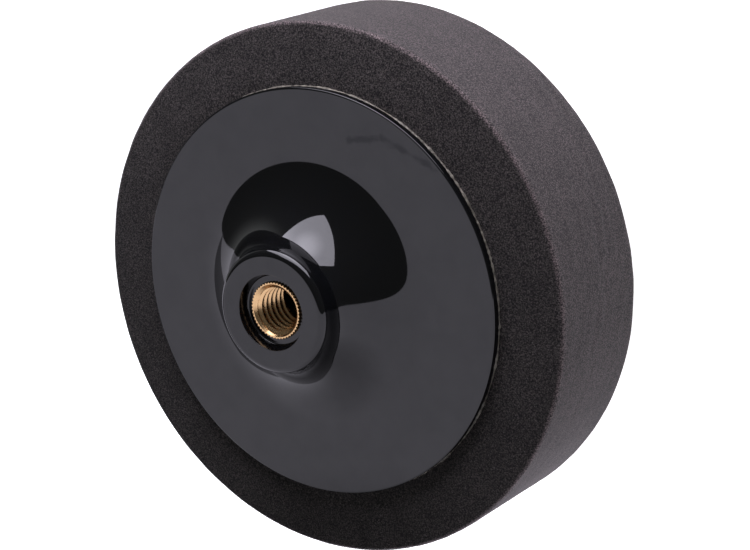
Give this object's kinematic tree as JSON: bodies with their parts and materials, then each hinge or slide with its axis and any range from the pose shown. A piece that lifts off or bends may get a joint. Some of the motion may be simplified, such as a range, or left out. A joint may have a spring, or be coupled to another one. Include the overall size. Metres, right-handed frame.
{
  "type": "polishing pad",
  "caption": "Round foam polishing pad bonded to a glossy moulded backing plate with a bell-shaped hub and a knurled brass insert with a spindle thread.",
  "frame": {"origin": "centre of the foam's working face, which the pad lies on", "axes": "+Z along the pad's axis, from the working face to the hub; X and Y are any two radii at right angles"},
  "size_m": [0.15, 0.15, 0.0642],
  "materials": {
    "pad_foam": "open-cell polyurethane foam, fine cells, cut faces",
    "adhesive": "cured adhesive, uneven bead",
    "plate_plastic": "moulded, high gloss black",
    "insert_brass": "turned, straight knurl outside"
  },
  "bodies": {
    "root": {"foam_pad": "pad_foam", "adhesive_layer": "adhesive", "backing_plate": "plate_plastic", "threaded_insert": "insert_brass"}
  },
  "joints": []
}
